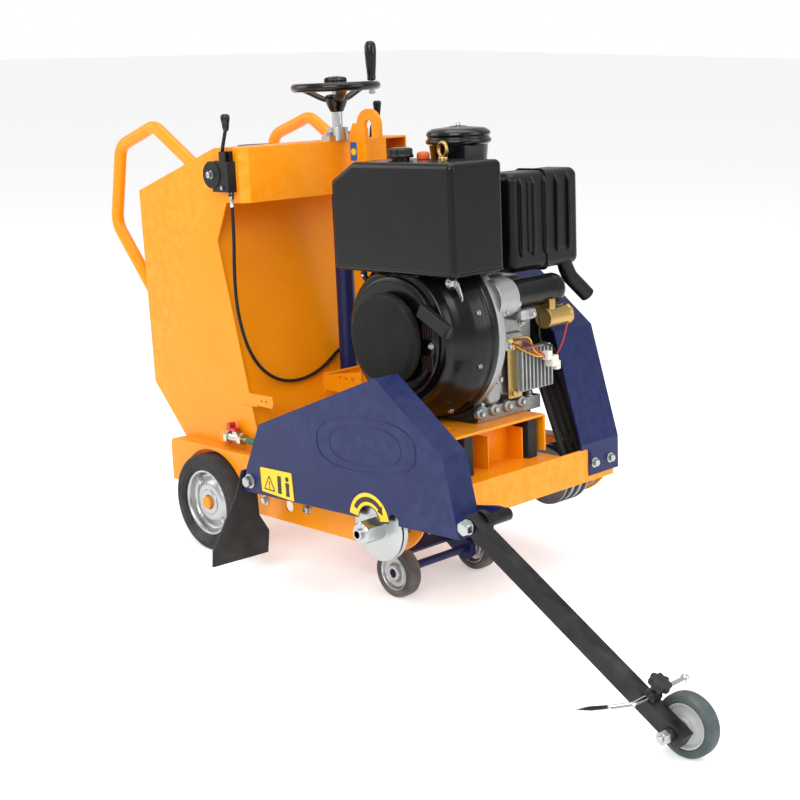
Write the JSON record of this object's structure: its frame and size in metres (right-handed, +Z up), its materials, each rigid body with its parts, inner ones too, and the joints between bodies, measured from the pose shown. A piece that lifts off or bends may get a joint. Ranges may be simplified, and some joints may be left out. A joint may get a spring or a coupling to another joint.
{
  "type": "walk-behind concrete saw",
  "caption": "Walk-behind floor saw with water tank frame, diesel engine, hinged blade guard, belt drive, depth handwheel and folding guide arm.",
  "frame": {"origin": "on the floor below the centre of the saw's bounding box", "axes": "+X forwards, towards the guide wheel; +Y to the operator's left; +Z up"},
  "size_m": [1.6397, 0.7338, 1.0092],
  "materials": {
    "amber_paint": "semi-gloss amber orange powder coat, dusty on ledges",
    "navy_paint": "semi-gloss navy powder coat",
    "black_paint": "gloss black sheet metal",
    "zinc": "bright zinc plated steel",
    "steel": "machined steel",
    "chrome": "polished chrome",
    "aluminium": "bare die-cast aluminium",
    "black_rubber": "matte black rubber",
    "tyre_black": "solid black tyre, dusty",
    "tyre_grey": "solid teal-grey tyre",
    "grey_plastic": "light grey moulded nylon",
    "black_plastic": "matte black moulded plastic",
    "gloss_black_plastic": "gloss black moulded plastic",
    "red_plastic": "red dipped vinyl",
    "green_hose": "green hose in a dark sheath",
    "muffler_black": "heat-resistant matte black",
    "nickel": "nickel plated brass"
  },
  "bodies": {
    "chassis": {"side_plates": "amber_paint", "front_frame": "amber_paint", "rear_deck": "amber_paint", "engine_mount_plate": "amber_paint", "rubber_mounts": "black_rubber", "water_tank": "amber_paint", "control_box": "amber_paint", "handles": "amber_paint", "spindle_bearing": "aluminium", "screw_column": "navy_paint", "lifting_plate": "amber_paint", "lever_housings": "black_plastic", "throttle_cable": "black_plastic", "water_fittings": "nickel", "water_hose": "green_hose", "shaft_bearings": "aluminium", "drive_belts": "black_rubber", "belt_guard": "navy_paint", "crankcase": "aluminium", "fan_shroud": "black_paint", "recoil_cover": "black_paint", "fuel_tank": "gloss_black_plastic", "muffler": "muffler_black", "air_cleaner": "gloss_black_plastic", "starter_motor": "black_paint", "regulator": "aluminium", "guide_bracket": "navy_paint", "frame_bolts": "zinc"},
    "rear_wheel_right": {"rear_tyre_right": "tyre_black", "rear_rim_right": "zinc"},
    "rear_wheel_left": {"rear_tyre_left": "tyre_black", "rear_rim_left": "zinc"},
    "front_carriage": {"front_carriage": "navy_paint"},
    "front_wheel_right": {"front_tyre_right": "tyre_black", "front_rim_right": "zinc"},
    "front_wheel_left": {"front_tyre_left": "tyre_black", "front_rim_left": "zinc"},
    "handwheel": {"handwheel": "gloss_black_plastic", "depth_screw": "steel"},
    "crank_grip": {"crank_grip": "black_plastic"},
    "lock_knob": {"lock_knob": "black_plastic"},
    "throttle_lever": {"throttle_lever": "black_plastic"},
    "depth_lock_lever": {"depth_lock_lever": "black_plastic"},
    "valve_handle": {"valve_handle": "red_plastic"},
    "tank_cap": {"tank_cap": "black_plastic"},
    "fuel_cap": {"fuel_cap": "black_plastic"},
    "recoil_grip": {"recoil_grip": "black_plastic"},
    "blade_guard": {"blade_guard": "navy_paint", "mud_flap": "black_rubber"},
    "blade_shaft": {"blade_shaft": "steel", "outer_flange": "zinc", "arbor_nut": "zinc", "driven_pulley": "steel"},
    "crankshaft": {"crankshaft": "steel", "drive_pulley": "steel"},
    "guide_arm": {"guide_arm": "navy_paint"},
    "guide_wheel": {"guide_tyre": "tyre_grey", "guide_rim": "grey_plastic"},
    "pointer_rod": {"pointer_rod": "chrome"},
    "guide_knob": {"guide_knob": "black_plastic"}
  },
  "joints": [
    {"name": "rear_wheel_right_spin", "type": "hinge", "parent": "chassis", "child": "rear_wheel_right", "pos_m": [-0.43113, -0.17406, 0.1], "axis": [0, 1, 0], "continuous": true},
    {"name": "rear_wheel_left_spin", "type": "hinge", "parent": "chassis", "child": "rear_wheel_left", "pos_m": [-0.43113, 0.34194, 0.1], "axis": [0, 1, 0], "continuous": true},
    {"name": "carriage_swing", "type": "hinge", "parent": "chassis", "child": "front_carriage", "pos_m": [-0.13284, 0.01894, 0.13776], "axis": [0, -1, 0], "range_deg": [0, 32]},
    {"name": "front_wheel_right_spin", "type": "hinge", "parent": "front_carriage", "child": "front_wheel_right", "pos_m": [0.02087, -0.08706, 0.048], "axis": [0, 1, 0], "continuous": true},
    {"name": "front_wheel_left_spin", "type": "hinge", "parent": "front_carriage", "child": "front_wheel_left", "pos_m": [0.02087, 0.12494, 0.048], "axis": [0, 1, 0], "continuous": true},
    {"name": "handwheel_turn", "type": "hinge", "parent": "chassis", "child": "handwheel", "pos_m": [-0.36758, 0.11494, 0.88515], "axis": [-0.0593, 0, 0.9982], "range_deg": [0, 1920]},
    {"name": "crank_grip_spin", "type": "hinge", "parent": "handwheel", "child": "crank_grip", "pos_m": [-0.35055, 0.19415, 0.95629], "axis": [-0.0593, 0, 0.9982], "continuous": true},
    {"name": "lock_knob_turn", "type": "hinge", "parent": "handwheel", "child": "lock_knob", "pos_m": [-0.37043, 0.11494, 0.93307], "axis": [-0.0593, 0, 0.9982], "range_deg": [0, 720]},
    {"name": "throttle_swing", "type": "hinge", "parent": "chassis", "child": "throttle_lever", "pos_m": [-0.4223, -0.15306, 0.76069], "axis": [0, 1, 0], "range_deg": [-12, 15]},
    {"name": "depth_lock_swing", "type": "hinge", "parent": "chassis", "child": "depth_lock_lever", "pos_m": [-0.43159, 0.24694, 0.78217], "axis": [0, 1, 0], "range_deg": [-10, 20]},
    {"name": "valve_turn", "type": "hinge", "parent": "chassis", "child": "valve_handle", "pos_m": [-0.37873, -0.15506, 0.26339], "axis": [-0.0593, 0, 0.9982], "range_deg": [0, 90]},
    {"name": "tank_cap_turn", "type": "hinge", "parent": "chassis", "child": "tank_cap", "pos_m": [-0.59184, 0.09094, 0.78167], "axis": [-0.0593, 0, 0.9982], "range_deg": [0, 720]},
    {"name": "fuel_cap_turn", "type": "hinge", "parent": "chassis", "child": "fuel_cap", "pos_m": [-0.06078, -0.00406, 0.81322], "axis": [-0.0593, 0, 0.9982], "range_deg": [0, 360]},
    {"name": "recoil_pull", "type": "slide", "parent": "chassis", "child": "recoil_grip", "axis": [0, -1, 0], "range_m": [0, 0.6]},
    {"name": "guard_tilt", "type": "hinge", "parent": "chassis", "child": "blade_guard", "pos_m": [-0.22296, -0.21506, 0.20453], "axis": [0, -1, 0], "range_deg": [0, 50]},
    {"name": "blade_shaft_spin", "type": "hinge", "parent": "chassis", "child": "blade_shaft", "pos_m": [0.11634, 0.00094, 0.19263], "axis": [0, 1, 0], "continuous": true},
    {"name": "crankshaft_spin", "type": "hinge", "parent": "chassis", "child": "crankshaft", "pos_m": [-0.0085, 0.12094, 0.48975], "axis": [0, 1, 0], "continuous": true},
    {"name": "guide_arm_swing", "type": "hinge", "parent": "chassis", "child": "guide_arm", "pos_m": [0.36639, -0.25206, 0.26659], "axis": [0, -1, 0], "range_deg": [0, 125]},
    {"name": "guide_wheel_spin", "type": "hinge", "parent": "guide_arm", "child": "guide_wheel", "pos_m": [0.76987, -0.21906, 0.05], "axis": [0, 1, 0], "continuous": true},
    {"name": "pointer_slide", "type": "slide", "parent": "guide_arm", "child": "pointer_rod", "axis": [0, 1, 0], "range_m": [-0.03, 0.024]},
    {"name": "guide_knob_turn", "type": "hinge", "parent": "guide_arm", "child": "guide_knob", "pos_m": [0.72728, -0.25206, 0.09329], "axis": [0.473, 0, 0.8811], "range_deg": [0, 720]}
  ],
  "couplings": [
    {"joint": "handwheel_turn", "follows": "carriage_swing", "ratio": 60},
    {"joint": "crankshaft_spin", "follows": "blade_shaft_spin", "ratio": 1.3182}
  ]
}
